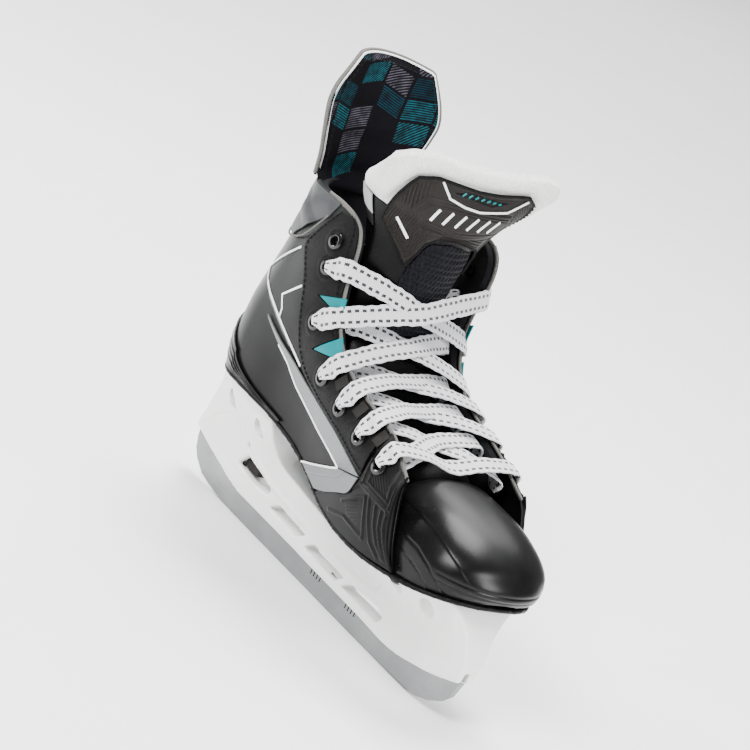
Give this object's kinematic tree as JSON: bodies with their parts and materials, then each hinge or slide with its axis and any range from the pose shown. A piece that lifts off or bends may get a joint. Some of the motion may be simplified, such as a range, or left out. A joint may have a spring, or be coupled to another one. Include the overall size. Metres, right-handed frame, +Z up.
{
  "type": "ice hockey skate",
  "caption": "Laced ice hockey skate for the right foot: stiff boot, padded tongue and tendon guard on a plastic blade holder with a hooked steel runner that a trigger releases.",
  "frame": {"origin": "on the ice at the middle of the runner's ground flat, in the skate's centre plane", "axes": "+X towards the toe, +Y towards the inner side of the foot, +Z up"},
  "size_m": [0.267, 0.1063, 0.26],
  "materials": {
    "steel": "brushed",
    "holder": "satin white",
    "lever": "matte",
    "hardware": "plain",
    "sole": "gloss",
    "board": "pressed board",
    "footbed": "foam",
    "shell": "gloss",
    "lining": "brushed fabric",
    "counter": "gloss",
    "collar": "matte",
    "eyestay": "grained",
    "teal": "gloss",
    "silver": "hatched silver",
    "guard": "matte",
    "guard_lining": "printed fabric",
    "felt": "felt",
    "badge": "moulded",
    "mesh": "mesh",
    "label": "woven",
    "eyelet": "gloss black",
    "lace": "woven"
  },
  "bodies": {
    "boot": {"blade_holder": "holder", "trigger_pin": "hardware", "trigger_spring": "hardware", "rivets_front": "hardware", "rivets_rear": "hardware", "rivet_washers": "hardware", "outsole": "sole", "insole_board": "board", "footbed": "footbed", "quarter_outer": "shell", "quarter_inner": "shell", "lining_outer": "lining", "lining_inner": "lining", "heel_counter": "counter", "collar_outer": "collar", "collar_inner": "collar", "eyestay_outer": "eyestay", "eyestay_inner": "eyestay", "notch_inserts_outer": "teal", "notch_inserts_inner": "teal", "accent_outer": "silver", "accent_inner": "silver", "forefoot_guard_outer": "counter", "forefoot_guard_inner": "counter", "toe_cap": "counter", "toe_lining": "lining", "tongue_lower": "felt", "eyelets_outer": "eyelet", "eyelets_inner": "eyelet", "lace": "lace"},
    "steel": {"runner": "steel"},
    "release": {"trigger": "lever"},
    "tendon": {"tendon_guard": "guard", "tendon_guard_lining": "guard_lining"},
    "flap": {"tongue_upper": "felt", "tongue_badge": "badge", "tongue_pad": "mesh", "size_tab": "label"}
  },
  "joints": [
    {"name": "runner_release", "type": "hinge", "parent": "boot", "child": "steel", "pos_m": [0.112, 0, 0.024], "axis": [0, -1, 0], "range_deg": [0, 5]},
    {"name": "trigger_pull", "type": "hinge", "parent": "boot", "child": "release", "pos_m": [-0.079, 0, 0.0415], "axis": [0, -1, 0], "range_deg": [0, 30], "stiffness_Nm_per_rad": 0.08, "springref_deg": -22.92},
    {"name": "tendon_guard_flex", "type": "hinge", "parent": "boot", "child": "tendon", "pos_m": [-0.1135, 0, 0.1905], "axis": [0, -1, 0], "range_deg": [0, 15], "stiffness_Nm_per_rad": 1, "springref_deg": -11.46},
    {"name": "tongue_flex", "type": "hinge", "parent": "boot", "child": "flap", "pos_m": [-0.013, 0, 0.1565], "axis": [0, 1, 0], "range_deg": [0, 12], "stiffness_Nm_per_rad": 1, "springref_deg": -11.46}
  ],
  "couplings": [
    {"joint": "trigger_pull", "follows": "runner_release", "ratio": 6}
  ]
}
